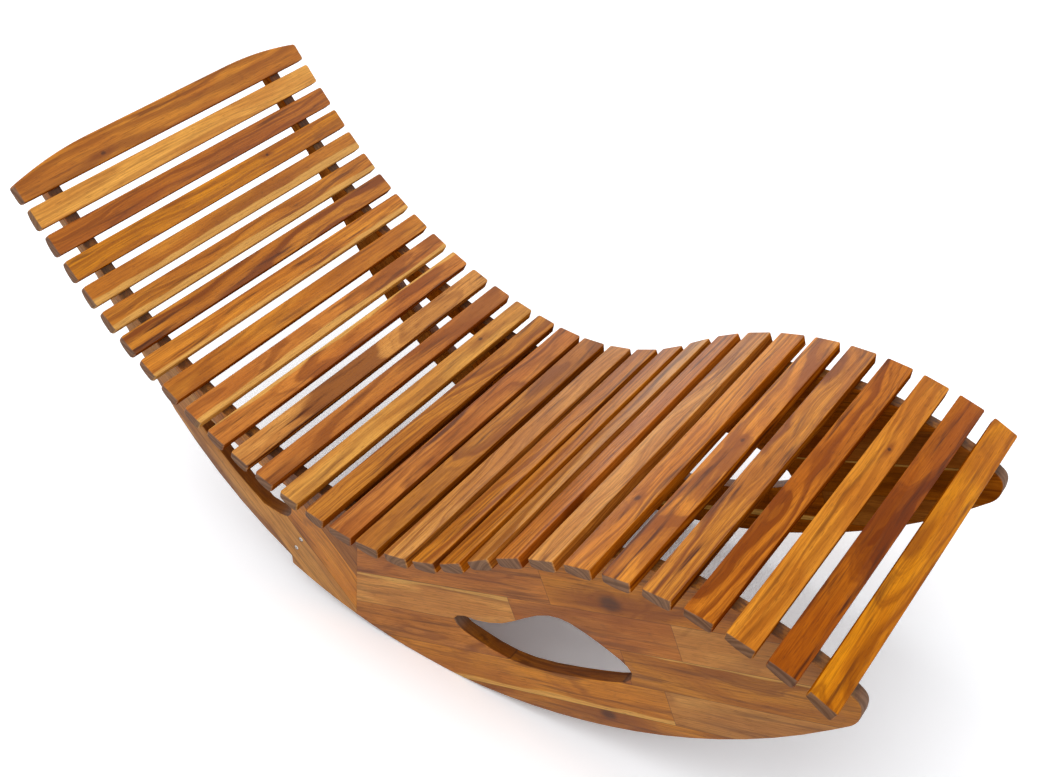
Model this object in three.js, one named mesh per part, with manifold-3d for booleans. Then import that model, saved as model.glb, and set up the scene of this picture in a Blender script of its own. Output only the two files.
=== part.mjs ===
// A slatted hardwood rocking chaise lounge: thirty cross slats on two curved side boards.
// Millimetres. +X runs from the head to the foot, +Y from the right side to the left, +Z is up.
// The origin is on the floor, in the middle of the lounge.
import * as THREE from "three";
import { mergeVertices } from "three/addons/utils/BufferGeometryUtils.js";
import Module from "manifold-3d";

const wasm = await Module();
wasm.setup();

// Fits that every joint shares
const contact_gap = 0.3;
const hole_clearance = 0.3;
const cutter_overrun = 2;

// Seat line: the curve through the middle of the slats' top faces, as a chain of arcs from the head.
// A positive radius curves up at the far end, a negative one curves down.
const seat_head_x = -704;
const seat_head_z = 660;
const seat_head_slope = THREE.MathUtils.degToRad(-53);
const head_run = 166;
const head_radius = 2080;
const back_run = 557;
const back_radius = 811;
const hollow_run = 277;
const hollow_radius = 359;
const thigh_run = 51;
const knee_run = 421;
const knee_radius = -511;
const calf_run = 45;
const calf_radius = -1230;
const toe_radius = -418;

// Slats
const slat_length = 650;
const slat_thickness = 18;
const slat_edge_bevel = 2;
const slat_corner_radius = 5;
const seat_slat_corner_radius = 2.5;
const back_slat_width = 36.5;
const seat_slat_width = 43.5;
const back_slat_count = 15;
const slat_count = 30;
const head_pitch = 48.4;
const head_pitch_count = 7;
const back_pitch = 52.1;
const back_pitch_count = 9;
const hollow_pitch = 56.4;
const hollow_pitch_count = 3;
const seat_pitch = 61.6;
const head_slat_end_width = 31.5;
const head_slat_crown = 19.3;
const head_slat_shoulder = 165;
const head_slat_foot_offset = 19;

// Hidden pegs that hold each slat on the side boards
const peg_radius = 4;
const peg_length = 15;
const peg_root = 6;

// Side boards
const board_thickness = 25;
const slat_overhang = 55;
const rail_end_setback = 12;
const rail_depth = 24;
const rail_run = 165;
const rail_corner_radius = 12;
const flank_x = -495;
const flank_z = 283;
const flank_radius = 730;
const heel_x = -261;
const heel_top_z = 75;
const heel_corner_radius = 4;

// Rocker edge: a short flat where the lounge stands, an arc behind it, and two arcs in front of it
const rocker_contact_x = 38;
const rocker_flat = 30;
const rocker_rear_radius = 730;
const rocker_front_radius = 566;
const rocker_front_sweep = THREE.MathUtils.degToRad(8.4);
const rocker_toe_radius = 985;
const rocker_toe_slope = THREE.MathUtils.degToRad(46);

// Rounded nose at the foot end
const nose_tip_x = 734;
const nose_top_slope = THREE.MathUtils.degToRad(-33);
const nose_top_radius = 44;
const nose_lower_radius = 58;

// Long window in the rear board, between its seat rail and its lower strut
const rear_window_drop = 44;
const rear_window_start = 418;
const rear_window_end = 606;
const rear_window_foot_x = -247;
const rear_window_floor_z = 161;
const strut_head_width = 44;
const strut_heel_width = 55;
const rear_window_end_radius = 12;
const rear_window_floor_radius = 28;

// Leaf-shaped window in the front board
const leaf_x = 86;
const leaf_z = 105;
const leaf_length = 320;
const leaf_height = 145;

// Butt joint between the rear and front boards, with two dowels across it
const seam_foot_x = -124;
const seam_lean = THREE.MathUtils.degToRad(5.7);
const seam_dowel_radius = 6;
const seam_dowel_length = 60;
const seam_dowel_shares = [0.3, 0.72];

// Stretcher between the rear boards, with two bolts and barrel nuts at each end
const stretcher_x = -240;
const stretcher_z = 114;
const stretcher_depth = 65;
const stretcher_thickness = 24;
const stretcher_edge_radius = 3;
const stretcher_lean = THREE.MathUtils.degToRad(27.4);
const bolt_spacing = 29;
const bolt_head_radius = 4.5;
const bolt_head_height = 3;
const bolt_socket_radius = 2.2;
const bolt_socket_depth = 2;
const bolt_shank_radius = 3;
const bolt_grip = 35;
const nut_radius = 5;
const nut_length = 18;
const nut_setback = 28;

// Facets
const arc_step = THREE.MathUtils.degToRad(3);
const flank_step = THREE.MathUtils.degToRad(5);
const corner_step = THREE.MathUtils.degToRad(9);
const peg_sides = 8;
const dowel_sides = 10;
const bolt_sides = 12;
const plan_corner_steps = 2;
const crown_steps = 5;
const rail_steps = 4;
const leaf_steps = 30;
const window_edge_steps = 8;

// Finishes
const timber_colours = {
  honey: 0xc98a3f,
  golden: 0xb8742f,
  tan: 0xab6a33,
  medium: 0x9c5c2b,
  reddish: 0x8a4722,
  dark: 0x6b3519,
};
const slat_timbers = [
  "medium", "honey", "dark", "golden", "medium", "medium", "dark", "golden", "medium", "reddish",
  "reddish", "tan", "reddish", "honey", "golden", "reddish", "golden", "tan", "medium", "medium",
  "tan", "reddish", "golden", "golden", "reddish", "golden", "dark", "honey", "dark", "golden",
];

function timber(tone) {
  return new THREE.MeshStandardMaterial({ color: timber_colours[tone], roughness: 0.5, metalness: 0 });
}

function steel() {
  return new THREE.MeshStandardMaterial({ color: 0xb9b8b4, roughness: 0.35, metalness: 0.9 });
}

// Solids: a closed geometry becomes a solid to be joined or cut, and comes back as a geometry

function to_solid(geometry) {
  const bare = geometry.clone();
  bare.deleteAttribute("normal");
  bare.deleteAttribute("uv");
  const merged = mergeVertices(bare);
  return new wasm.Manifold(new wasm.Mesh({
    numProp: 3,
    vertProperties: new Float32Array(merged.attributes.position.array),
    triVerts: new Uint32Array(merged.index.array),
  }));
}

function to_geometry(solid) {
  const mesh = solid.getMesh();
  const geometry = new THREE.BufferGeometry();
  geometry.setAttribute("position", new THREE.BufferAttribute(mesh.vertProperties, mesh.numProp));
  geometry.setIndex(new THREE.BufferAttribute(mesh.triVerts, 1));
  geometry.computeVertexNormals();
  return geometry;
}

function cut(geometry, cutters) {
  return to_geometry(cutters.reduce((solid, cutter) => solid.subtract(to_solid(cutter)), to_solid(geometry)));
}

function join(geometry, additions) {
  return to_geometry(additions.reduce((solid, addition) => solid.add(to_solid(addition)), to_solid(geometry)));
}

function piece(name, geometry, material) {
  const mesh = new THREE.Mesh(geometry, material);
  mesh.name = name;
  return mesh;
}

// Seat line

const seat_bends = [
  { run: head_run, radius: head_radius },
  { run: back_run, radius: back_radius },
  { run: hollow_run, radius: hollow_radius },
  { run: thigh_run, radius: Infinity },
  { run: knee_run, radius: knee_radius },
  { run: calf_run, radius: calf_radius },
  { run: Infinity, radius: toe_radius },
];

function seat_frame(station) {
  const frame = { x: seat_head_x, z: seat_head_z, slope: seat_head_slope };
  let left = station;
  for (const { run, radius } of seat_bends) {
    const step = Math.min(left, run);
    const turn = step / radius;
    const chord = turn === 0 ? step : 2 * radius * Math.sin(turn / 2);
    frame.x += chord * Math.cos(frame.slope + turn / 2);
    frame.z += chord * Math.sin(frame.slope + turn / 2);
    frame.slope += turn;
    left -= step;
    if (left <= 0) {
      break;
    }
  }
  return frame;
}

function offset_point(frame, along, drop) {
  const cosine = Math.cos(frame.slope);
  const sine = Math.sin(frame.slope);
  return new THREE.Vector2(frame.x + along * cosine + drop * sine, frame.z + along * sine - drop * cosine);
}

const pitch_groups = [
  { count: head_pitch_count, pitch: head_pitch },
  { count: back_pitch_count, pitch: back_pitch },
  { count: hollow_pitch_count, pitch: hollow_pitch },
  { count: Infinity, pitch: seat_pitch },
];

// Distance along the seat line from the head slat to another slat
function slat_station(index) {
  let station = 0;
  let left = index;
  for (const { count, pitch } of pitch_groups) {
    const steps = Math.min(left, count);
    station += steps * pitch;
    left -= steps;
  }
  return station;
}

const slat_frames = Array.from({ length: slat_count }, (_, index) => seat_frame(slat_station(index)));
const board_drop = slat_thickness + contact_gap;
const board_outer_y = slat_length / 2 - slat_overhang;
const board_middle_y = board_outer_y - board_thickness / 2;
const board_inner_y = board_outer_y - board_thickness;

function slat_width(index) {
  return index < back_slat_count ? back_slat_width : seat_slat_width;
}

function slat_end_radius(index) {
  return index < back_slat_count ? slat_corner_radius : seat_slat_corner_radius;
}

// Outline helpers

function arc_points(centre_x, centre_z, radius, from, to, step) {
  const count = Math.max(1, Math.round(Math.abs(to - from) / step));
  return Array.from({ length: count + 1 }, (_, index) => {
    const angle = from + (to - from) * index / count;
    return new THREE.Vector2(centre_x + radius * Math.cos(angle), centre_z + radius * Math.sin(angle));
  });
}

// Replaces a corner by an arc of the given radius, no longer than half of its shorter side
function fillet(before, corner, after, radius) {
  const back = before.clone().sub(corner);
  const ahead = after.clone().sub(corner);
  const half_angle = back.angleTo(ahead) / 2;
  const reach = Math.min(radius / Math.tan(half_angle), Math.min(back.length(), ahead.length()) / 2);
  const start = corner.clone().addScaledVector(back.normalize(), reach);
  const end = corner.clone().addScaledVector(ahead.normalize(), reach);
  const count = Math.max(2, Math.round((Math.PI - 2 * half_angle) / corner_step));
  return new THREE.QuadraticBezierCurve(start, corner, end).getPoints(count);
}

function rounded_rectangle(width, length, radius) {
  const x = width / 2 - radius;
  const y = length / 2 - radius;
  const step = Math.PI / 2 / plan_corner_steps;
  const quarter = Math.PI / 2;
  return [
    ...arc_points(x, y, radius, 0, quarter, step),
    ...arc_points(-x, y, radius, quarter, 2 * quarter, step),
    ...arc_points(-x, -y, radius, 2 * quarter, 3 * quarter, step),
    ...arc_points(x, -y, radius, 3 * quarter, 4 * quarter, step),
  ];
}

// Slats: flat strips with eased edges and rounded ends, each on two hidden pegs

function slat_geometry(outline) {
  const depth = slat_thickness - 2 * slat_edge_bevel;
  const blank = new THREE.ExtrudeGeometry(new THREE.Shape(outline), {
    depth,
    bevelThickness: slat_edge_bevel,
    bevelSize: slat_edge_bevel,
    bevelOffset: -slat_edge_bevel,
    bevelSegments: 1,
  });
  blank.translate(0, 0, slat_edge_bevel - slat_thickness);
  const pegs = [-board_middle_y, board_middle_y].map((y) => peg_geometry(peg_radius, peg_root, peg_length, y));
  return join(blank, pegs);
}

function peg_geometry(radius, above, below, y) {
  const peg = new THREE.CylinderGeometry(radius, radius, above + below, peg_sides);
  peg.rotateX(Math.PI / 2);
  peg.translate(0, y, (above - below) / 2 - slat_thickness);
  return peg;
}

// The head slat's upper edge rises from its ends to a straight crown
function head_slat_outline() {
  const foot_edge = head_slat_foot_offset;
  const end_edge = foot_edge - head_slat_end_width;
  const crown_edge = end_edge - head_slat_crown;
  const half = slat_length / 2;
  const shoulder_radius = (head_slat_shoulder ** 2 + head_slat_crown ** 2) / (2 * head_slat_crown);
  const sweep = Math.asin(head_slat_shoulder / shoulder_radius);
  const centre_x = crown_edge + shoulder_radius;
  const shoulder = arc_points(0, 0, shoulder_radius, 0, sweep, sweep / crown_steps)
    .map((point) => new THREE.Vector2(centre_x - point.x, half - head_slat_shoulder + point.y));
  const left_end = shoulder.at(-1);
  const left_corner = new THREE.Vector2(foot_edge, half);
  const right_corner = new THREE.Vector2(foot_edge, -half);
  const mirrored = shoulder.map((point) => new THREE.Vector2(point.x, -point.y)).reverse();
  const right_end = mirrored[0];
  return [
    ...fillet(right_corner, left_corner, left_end, slat_corner_radius),
    ...fillet(left_corner, left_end, shoulder.at(-2), slat_corner_radius),
    ...shoulder.slice(0, -1).reverse(),
    ...mirrored.slice(1).reverse(),
    ...fillet(mirrored[1], right_end, right_corner, slat_corner_radius),
    ...fillet(right_end, right_corner, left_corner, slat_corner_radius),
  ];
}

function slat_mesh(index) {
  const outline = index === 0
    ? head_slat_outline()
    : rounded_rectangle(slat_width(index), slat_length, slat_end_radius(index));
  const name = index === 0 ? "head_slat" : `slat_${String(index + 1).padStart(2, "0")}`;
  const mesh = piece(name, slat_geometry(outline), timber(slat_timbers[index % slat_timbers.length]));
  const { x, z, slope } = slat_frames[index];
  mesh.position.set(x, 0, z);
  mesh.rotation.y = -slope;
  return mesh;
}

// Side board outline, drawn in the XZ plane as if the rear and front boards were one

function seat_edge_points() {
  return slat_frames.flatMap((frame, index) => {
    const half = slat_width(index) / 2;
    const start = index === 0 ? -rail_end_setback : -half;
    return [offset_point(frame, start, board_drop), offset_point(frame, half, board_drop)];
  });
}

function nose_points(seat_end, rocker_end) {
  const reach = nose_tip_x - seat_end.x;
  const upper = new THREE.Vector2(nose_tip_x, seat_end.y + reach * Math.tan(nose_top_slope));
  const drop = (nose_tip_x - rocker_end.x) * Math.tan(rocker_toe_slope);
  const lower = new THREE.Vector2(nose_tip_x, rocker_end.y + drop);
  return [
    ...fillet(seat_end, upper, lower, nose_top_radius),
    ...fillet(upper, lower, rocker_end, nose_lower_radius),
  ];
}

function rocker_front_points() {
  const down = -Math.PI / 2;
  const middle = down + rocker_front_sweep;
  const front_x = rocker_contact_x + rocker_flat / 2;
  const setback = rocker_toe_radius - rocker_front_radius;
  const toe_x = front_x - setback * Math.cos(middle);
  const toe_z = rocker_front_radius - setback * Math.sin(middle);
  const toe = arc_points(toe_x, toe_z, rocker_toe_radius, down + rocker_toe_slope, middle, arc_step);
  const front = arc_points(front_x, rocker_front_radius, rocker_front_radius, middle, down, arc_step);
  return [...toe, ...front.slice(1)];
}

function rocker_rear_points() {
  const down = -Math.PI / 2;
  const centre_x = rocker_contact_x - rocker_flat / 2;
  const sweep = Math.asin((centre_x - heel_x) / rocker_rear_radius);
  return arc_points(centre_x, rocker_rear_radius, rocker_rear_radius, down, down - sweep, arc_step);
}

// The flank is the bulging lower edge of the rear board, between its heel and its straight back
const flank_arc = (() => {
  const heel = new THREE.Vector2(heel_x, heel_top_z);
  const top = new THREE.Vector2(flank_x, flank_z);
  const chord = top.clone().sub(heel);
  const rise = Math.sqrt(flank_radius ** 2 - chord.lengthSq() / 4);
  const normal = new THREE.Vector2(chord.y, -chord.x).normalize();
  const centre = heel.clone().add(top).multiplyScalar(0.5).addScaledVector(normal, rise);
  const from = Math.atan2(heel.y - centre.y, heel.x - centre.x);
  const to = Math.atan2(top.y - centre.y, top.x - centre.x);
  return { centre, from, to };
})();

function flank_points(inset_heel, inset_head, step) {
  const { centre, from, to } = flank_arc;
  const points = arc_points(0, 0, 1, from, to, step);
  return points.map((unit, index) => {
    const inset = inset_heel + (inset_head - inset_heel) * index / (points.length - 1);
    return centre.clone().addScaledVector(unit, flank_radius - inset);
  });
}

function rail_points() {
  const stations = Array.from({ length: rail_steps + 1 }, (_, index) => rail_run * (1 - index / rail_steps));
  const lower = stations.map((station) => offset_point(seat_frame(station), 0, board_drop + rail_depth));
  const end = offset_point(slat_frames[0], -rail_end_setback, board_drop + rail_depth);
  const top = offset_point(slat_frames[0], -rail_end_setback, board_drop);
  return [...lower.slice(0, -1), ...fillet(lower.at(-2), end, top, rail_corner_radius)];
}

function board_outline() {
  const seat = seat_edge_points();
  const front = rocker_front_points();
  const rear = rocker_rear_points();
  const flank = flank_points(0, 0, flank_step);
  const heel_foot = rear.at(-1);
  return [
    ...seat,
    ...nose_points(seat.at(-1), front[0]),
    ...front,
    ...rear.slice(0, -1),
    ...fillet(rear.at(-2), heel_foot, flank[0], heel_corner_radius),
    ...fillet(heel_foot, flank[0], flank[1], heel_corner_radius),
    ...flank.slice(1),
    ...rail_points(),
  ];
}

// Long window: its upper edge follows the seat, and its lower edge leaves the strut along the flank
function rear_window_outline() {
  const upper = Array.from({ length: window_edge_steps + 1 }, (_, index) => {
    const station = rear_window_start + (rear_window_end - rear_window_start) * index / window_edge_steps;
    return offset_point(seat_frame(station), 0, board_drop + rear_window_drop);
  });
  const strut = flank_points(strut_heel_width, strut_head_width, flank_step / 2);
  const left = upper[0].x;
  const lower = strut.filter((point) => point.y > rear_window_floor_z && point.x > left - strut_head_width / 2);
  const upper_corner = new THREE.Vector2(rear_window_foot_x, upper.at(-1).y - rear_window_end_radius / 2);
  const floor_corner = new THREE.Vector2(rear_window_foot_x, rear_window_floor_z);
  return [
    ...fillet(lower.at(-1), upper[0], upper[1], rear_window_end_radius),
    ...upper.slice(1),
    ...fillet(upper.at(-1), upper_corner, floor_corner, rear_window_end_radius),
    ...fillet(upper_corner, floor_corner, lower[0], rear_window_floor_radius),
    ...lower.slice(0, -1),
    ...fillet(lower.at(-2), lower.at(-1), upper[0], rear_window_end_radius),
  ];
}

// Leaf window: a closed smooth curve through hand-picked points of its box, from its head-side tip
const leaf_outline_shares = [
  [0, 0.18], [0.04, 0.28], [0.15, 0.34], [0.27, 0.46], [0.38, 0.66], [0.48, 0.86], [0.58, 0.98],
  [0.67, 1], [0.8, 0.94], [0.9, 0.87], [0.965, 0.81], [1, 0.71], [0.97, 0.57], [0.88, 0.45],
  [0.68, 0.24], [0.47, 0.06], [0.31, 0], [0.15, 0.03], [0.03, 0.09],
];

function leaf_window_outline() {
  const corners = leaf_outline_shares.map(([across, up]) => new THREE.Vector3(
    leaf_x + across * leaf_length,
    leaf_z + up * leaf_height,
    0,
  ));
  const curve = new THREE.CatmullRomCurve3(corners, true, "centripetal");
  return curve.getPoints(leaf_steps).slice(1).map((point) => new THREE.Vector2(point.x, point.y));
}

// Side boards

function upright_cylinder(radius, from, to, x, z, sides) {
  const cylinder = new THREE.CylinderGeometry(radius, radius, to - from, sides);
  cylinder.translate(0, (from + to) / 2, 0);
  cylinder.translate(x, 0, z);
  return cylinder;
}

function peg_holes() {
  const radius = peg_radius + hole_clearance;
  const depth = peg_length + hole_clearance;
  return slat_frames.map(({ x, z, slope }) => {
    const hole = peg_geometry(radius, cutter_overrun, depth, 0);
    hole.rotateY(-slope);
    hole.translate(x, 0, z);
    return hole;
  });
}

const bolt_places = [-1, 1].map((end) => ({
  end,
  x: stretcher_x + end * bolt_spacing / 2 * Math.sin(stretcher_lean),
  z: stretcher_z + end * bolt_spacing / 2 * Math.cos(stretcher_lean),
}));

// side is 1 on the left, where the outer face looks along +Y, and -1 on the right
function bolt_holes(side) {
  const half = board_thickness / 2;
  return bolt_places.flatMap(({ x, z }) => [
    upright_cylinder(
      bolt_shank_radius + hole_clearance, -half - cutter_overrun, half + cutter_overrun, x, z, bolt_sides,
    ),
    upright_cylinder(
      bolt_head_radius + hole_clearance,
      Math.min(side * (half - bolt_head_height - contact_gap), side * (half + cutter_overrun)),
      Math.max(side * (half - bolt_head_height - contact_gap), side * (half + cutter_overrun)),
      x, z, bolt_sides,
    ),
  ]);
}

const seam_top_z = seat_frame(slat_station(back_slat_count)).z - board_drop;

function seam_place(share) {
  const z = seam_top_z * share;
  return { x: seam_foot_x + z * Math.tan(seam_lean), z };
}

function seam_dowel_geometry(radius, length) {
  const dowel = new THREE.CylinderGeometry(radius, radius, length, dowel_sides);
  dowel.rotateZ(Math.PI / 2);
  dowel.rotateY(seam_lean);
  return dowel;
}

function seam_dowel_holes() {
  return seam_dowel_shares.map((share) => {
    const { x, z } = seam_place(share);
    const hole = seam_dowel_geometry(seam_dowel_radius + hole_clearance, seam_dowel_length + 2 * contact_gap);
    hole.translate(x, 0, z);
    return hole;
  });
}

// Everything on one side of the seam, to be cut away from the other board
function seam_cutter(direction) {
  const reach = 2 * (nose_tip_x - seat_head_x);
  const block = new THREE.BoxGeometry(reach, reach, reach);
  block.translate(direction * (reach - contact_gap) / 2, 0, 0);
  block.rotateY(seam_lean);
  block.translate(seam_foot_x, 0, 0);
  return block;
}

const side_blank = (() => {
  const shape = new THREE.Shape(board_outline().reverse());
  shape.holes.push(new THREE.Path(rear_window_outline()), new THREE.Path(leaf_window_outline()));
  const blank = new THREE.ExtrudeGeometry(shape, { depth: board_thickness, bevelEnabled: false });
  blank.translate(0, 0, -board_thickness / 2);
  blank.rotateX(Math.PI / 2);
  return cut(blank, [...peg_holes(), ...seam_dowel_holes()]);
})();

function side_group(name, side) {
  const group = new THREE.Group();
  const rear = cut(side_blank, [seam_cutter(1), ...bolt_holes(side)]);
  const front = cut(side_blank, [seam_cutter(-1)]);
  group.add(piece(`rear_side_board_${name}`, rear, timber("medium")));
  group.add(piece(`front_side_board_${name}`, front, timber("medium")));
  seam_dowel_shares.forEach((share, index) => {
    const { x, z } = seam_place(share);
    const position = index === 0 ? "lower" : "upper";
    const dowel = piece(
      `seam_dowel_${name}_${position}`, seam_dowel_geometry(seam_dowel_radius, seam_dowel_length), timber("tan"),
    );
    dowel.position.set(x, 0, z);
    group.add(dowel);
  });
  group.position.y = side * board_middle_y;
  return group;
}

// Stretcher, drawn upright with its length along Y and then leaned with its bolts

const stretcher_half = board_inner_y - contact_gap;
const nut_pocket_depth = (stretcher_thickness + nut_length) / 2 + hole_clearance;

function nut_pocket(end, side) {
  const radius = nut_radius + hole_clearance;
  const pocket = new THREE.CylinderGeometry(radius, radius, nut_pocket_depth + cutter_overrun, dowel_sides);
  pocket.rotateZ(Math.PI / 2);
  pocket.translate(
    (nut_pocket_depth - cutter_overrun - stretcher_thickness) / 2,
    side * (stretcher_half - nut_setback),
    end * bolt_spacing / 2,
  );
  return pocket;
}

function bolt_bore(end, side) {
  const inner = stretcher_half - bolt_grip - contact_gap;
  const outer = stretcher_half + cutter_overrun;
  const bore = upright_cylinder(
    bolt_shank_radius + hole_clearance, inner, outer, 0, end * bolt_spacing / 2, bolt_sides,
  );
  if (side < 0) {
    bore.rotateX(Math.PI);
    bore.translate(0, 0, end * bolt_spacing);
  }
  return bore;
}

function stretcher_geometry() {
  const outline = rounded_rectangle(stretcher_thickness, stretcher_depth, stretcher_edge_radius);
  const bar = new THREE.ExtrudeGeometry(new THREE.Shape(outline), {
    depth: 2 * stretcher_half,
    bevelEnabled: false,
  });
  bar.translate(0, 0, -stretcher_half);
  bar.rotateX(Math.PI / 2);
  const ends = [-1, 1].flatMap((end) => [-1, 1].map((side) => [end, side]));
  return cut(bar, ends.flatMap(([end, side]) => [nut_pocket(end, side), bolt_bore(end, side)]));
}

// Bolt: a low round head with a driver socket, sunk flush in the board, and a plain shank. Its head is at y = 0.
function bolt_geometry() {
  const shank_end = -(board_thickness + contact_gap + bolt_grip);
  const crown = bolt_socket_radius + (bolt_head_radius - bolt_socket_radius) / 2;
  return new THREE.LatheGeometry([
    new THREE.Vector2(0, shank_end),
    new THREE.Vector2(bolt_shank_radius, shank_end),
    new THREE.Vector2(bolt_shank_radius, -bolt_head_height),
    new THREE.Vector2(bolt_head_radius, -bolt_head_height),
    new THREE.Vector2(bolt_head_radius, -bolt_head_height / 2),
    new THREE.Vector2(crown, 0),
    new THREE.Vector2(bolt_socket_radius, 0),
    new THREE.Vector2(bolt_socket_radius, -bolt_socket_depth),
    new THREE.Vector2(0, -bolt_socket_depth),
  ], bolt_sides);
}

function nut_geometry() {
  const nut = new THREE.CylinderGeometry(nut_radius, nut_radius, nut_length, dowel_sides);
  nut.rotateZ(Math.PI / 2);
  const reach = nut_radius + cutter_overrun;
  return cut(nut, [upright_cylinder(bolt_shank_radius + hole_clearance, -reach, reach, 0, 0, bolt_sides)]);
}

function stretcher_group() {
  const group = new THREE.Group();
  group.add(piece("stretcher", stretcher_geometry(), timber("reddish")));
  for (const [side_name, side] of [["left", 1], ["right", -1]]) {
    for (const [end_name, end] of [["lower", -1], ["upper", 1]]) {
      const bolt = piece(`stretcher_bolt_${side_name}_${end_name}`, bolt_geometry(), steel());
      bolt.position.set(0, side * board_outer_y, end * bolt_spacing / 2);
      bolt.rotation.x = side > 0 ? 0 : Math.PI;
      const nut = piece(`stretcher_nut_${side_name}_${end_name}`, nut_geometry(), steel());
      nut.position.set(0, side * (stretcher_half - nut_setback), end * bolt_spacing / 2);
      group.add(bolt, nut);
    }
  }
  group.position.set(stretcher_x, 0, stretcher_z);
  group.rotation.y = stretcher_lean;
  return group;
}

const lounge = new THREE.Group();
const seat = new THREE.Group();
seat.add(...slat_frames.map((_, index) => slat_mesh(index)));
lounge.add(seat, side_group("left", 1), side_group("right", -1), stretcher_group());

export default lounge;
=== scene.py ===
import math
import random

import bmesh
import bpy
from mathutils import Matrix, Vector


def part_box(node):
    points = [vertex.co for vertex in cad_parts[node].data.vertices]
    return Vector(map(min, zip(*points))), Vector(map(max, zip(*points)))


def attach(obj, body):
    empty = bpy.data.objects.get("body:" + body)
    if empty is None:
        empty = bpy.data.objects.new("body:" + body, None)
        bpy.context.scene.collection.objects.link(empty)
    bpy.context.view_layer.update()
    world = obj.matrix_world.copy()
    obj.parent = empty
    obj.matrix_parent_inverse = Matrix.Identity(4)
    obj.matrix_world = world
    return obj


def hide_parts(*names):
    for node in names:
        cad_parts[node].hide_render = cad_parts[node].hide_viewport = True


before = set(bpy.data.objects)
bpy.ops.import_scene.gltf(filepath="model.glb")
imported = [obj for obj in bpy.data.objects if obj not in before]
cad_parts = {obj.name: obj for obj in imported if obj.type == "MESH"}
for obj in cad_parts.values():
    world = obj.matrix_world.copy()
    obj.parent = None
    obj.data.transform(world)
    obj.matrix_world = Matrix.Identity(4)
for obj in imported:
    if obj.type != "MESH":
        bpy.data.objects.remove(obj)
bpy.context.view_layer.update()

# Camera
# It stands at the foot end on the lounge's right, above it, and looks down its length.
camera_place = Vector((1.0315, -1.4519, 1.7482))
camera_heading = math.radians(34.74)
camera_pitch = math.radians(-37.6)
camera_data = bpy.data.cameras.new("photo_camera")
camera_data.sensor_width = 36
camera_data.lens = 48.34
camera_data.clip_end = 50
camera = bpy.data.objects.new("photo_camera", camera_data)
camera.location = camera_place
camera.rotation_euler = (math.pi / 2 + camera_pitch, 0, camera_heading)
bpy.context.collection.objects.link(camera)
bpy.context.scene.camera = camera
bpy.context.scene.view_settings.view_transform = "Standard"

# Studio
# A white floor in an even white room whose ceiling is darker, under one very wide soft lamp overhead and
# a weaker one in front.
studio_white = 1.0
room_light = 0.55
ceiling_gloss = 0.1
ceiling_starts = 0.5
ceiling_full = 0.88
floor_seen = (1.225, 1.24, 1.27, 1.0)
floor_in_gloss = (0.8, 0.8, 0.8, 1.0)
floor_to_object = (0.3, 0.3, 0.3, 1.0)
floor_half = 9.0


# A lamp far away: its heading, its height above the floor and its spread are in degrees
def soft_lamp(name, heading, height, strength, spread):
    data = bpy.data.lights.new(name, "SUN")
    data.energy = strength
    data.angle = math.radians(spread)
    holder = bpy.data.objects.new(name, data)
    holder.rotation_euler = (math.radians(90 - height), 0, math.radians(heading))
    holder.visible_glossy = False
    bpy.context.collection.objects.link(holder)


soft_lamp("overhead_lamp", heading=-60, height=72, strength=1.28, spread=70)
soft_lamp("front_lamp", heading=40, height=38, strength=0.85, spread=60)

room = bpy.data.worlds.new("studio_room")
room.use_nodes = True
bpy.context.scene.world = room
room_nodes = room.node_tree.nodes
room_links = room.node_tree.links
ray = room_nodes.new("ShaderNodeLightPath")
upward = room_nodes.new("ShaderNodeSeparateXYZ")
room_links.new(room_nodes.new("ShaderNodeTexCoord").outputs["Generated"], upward.inputs[0])
gloss_light = room_nodes.new("ShaderNodeMapRange")
for socket, value in (("From Min", ceiling_starts), ("From Max", ceiling_full),
                      ("To Min", studio_white), ("To Max", ceiling_gloss)):
    gloss_light.inputs[socket].default_value = value
room_links.new(upward.outputs["Z"], gloss_light.inputs["Value"])
by_gloss = room_nodes.new("ShaderNodeMix")
by_gloss.inputs[2].default_value = room_light
room_links.new(ray.outputs["Is Glossy Ray"], by_gloss.inputs[0])
room_links.new(gloss_light.outputs[0], by_gloss.inputs[3])
seen = room_nodes.new("ShaderNodeMath")
seen.operation = "MAXIMUM"
room_links.new(ray.outputs["Is Camera Ray"], seen.inputs[0])
room_links.new(ray.outputs["Is Transmission Ray"], seen.inputs[1])
strength = room_nodes.new("ShaderNodeMix")
strength.inputs[3].default_value = studio_white
room_links.new(seen.outputs[0], strength.inputs[0])
room_links.new(by_gloss.outputs[0], strength.inputs[2])
room_links.new(strength.outputs[0], room_nodes["Background"].inputs["Strength"])
room_nodes["Background"].inputs["Color"].default_value = (1, 1, 1, 1)

bpy.ops.mesh.primitive_plane_add(size=2 * floor_half, location=(0, 0, 0))
floor = bpy.context.object
floor.name = "studio_floor"
floor_paint = bpy.data.materials.new("studio_floor_paint")
floor_paint.use_nodes = True
floor_nodes = floor_paint.node_tree.nodes
floor_links = floor_paint.node_tree.links
floor_shader = floor_nodes["Principled BSDF"]
floor_shader.inputs["Roughness"].default_value = 0.9
floor_shader.inputs["Specular IOR Level"].default_value = 0.0
floor_ray = floor_nodes.new("ShaderNodeLightPath")
floor_gloss = floor_nodes.new("ShaderNodeMix")
floor_gloss.data_type = "RGBA"
floor_gloss.inputs[6].default_value = floor_to_object
floor_gloss.inputs[7].default_value = floor_in_gloss
floor_links.new(floor_ray.outputs["Is Glossy Ray"], floor_gloss.inputs[0])
floor_tint = floor_nodes.new("ShaderNodeMix")
floor_tint.data_type = "RGBA"
floor_tint.inputs[7].default_value = floor_seen
floor_links.new(floor_ray.outputs["Is Camera Ray"], floor_tint.inputs[0])
floor_links.new(floor_gloss.outputs[2], floor_tint.inputs[6])
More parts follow.
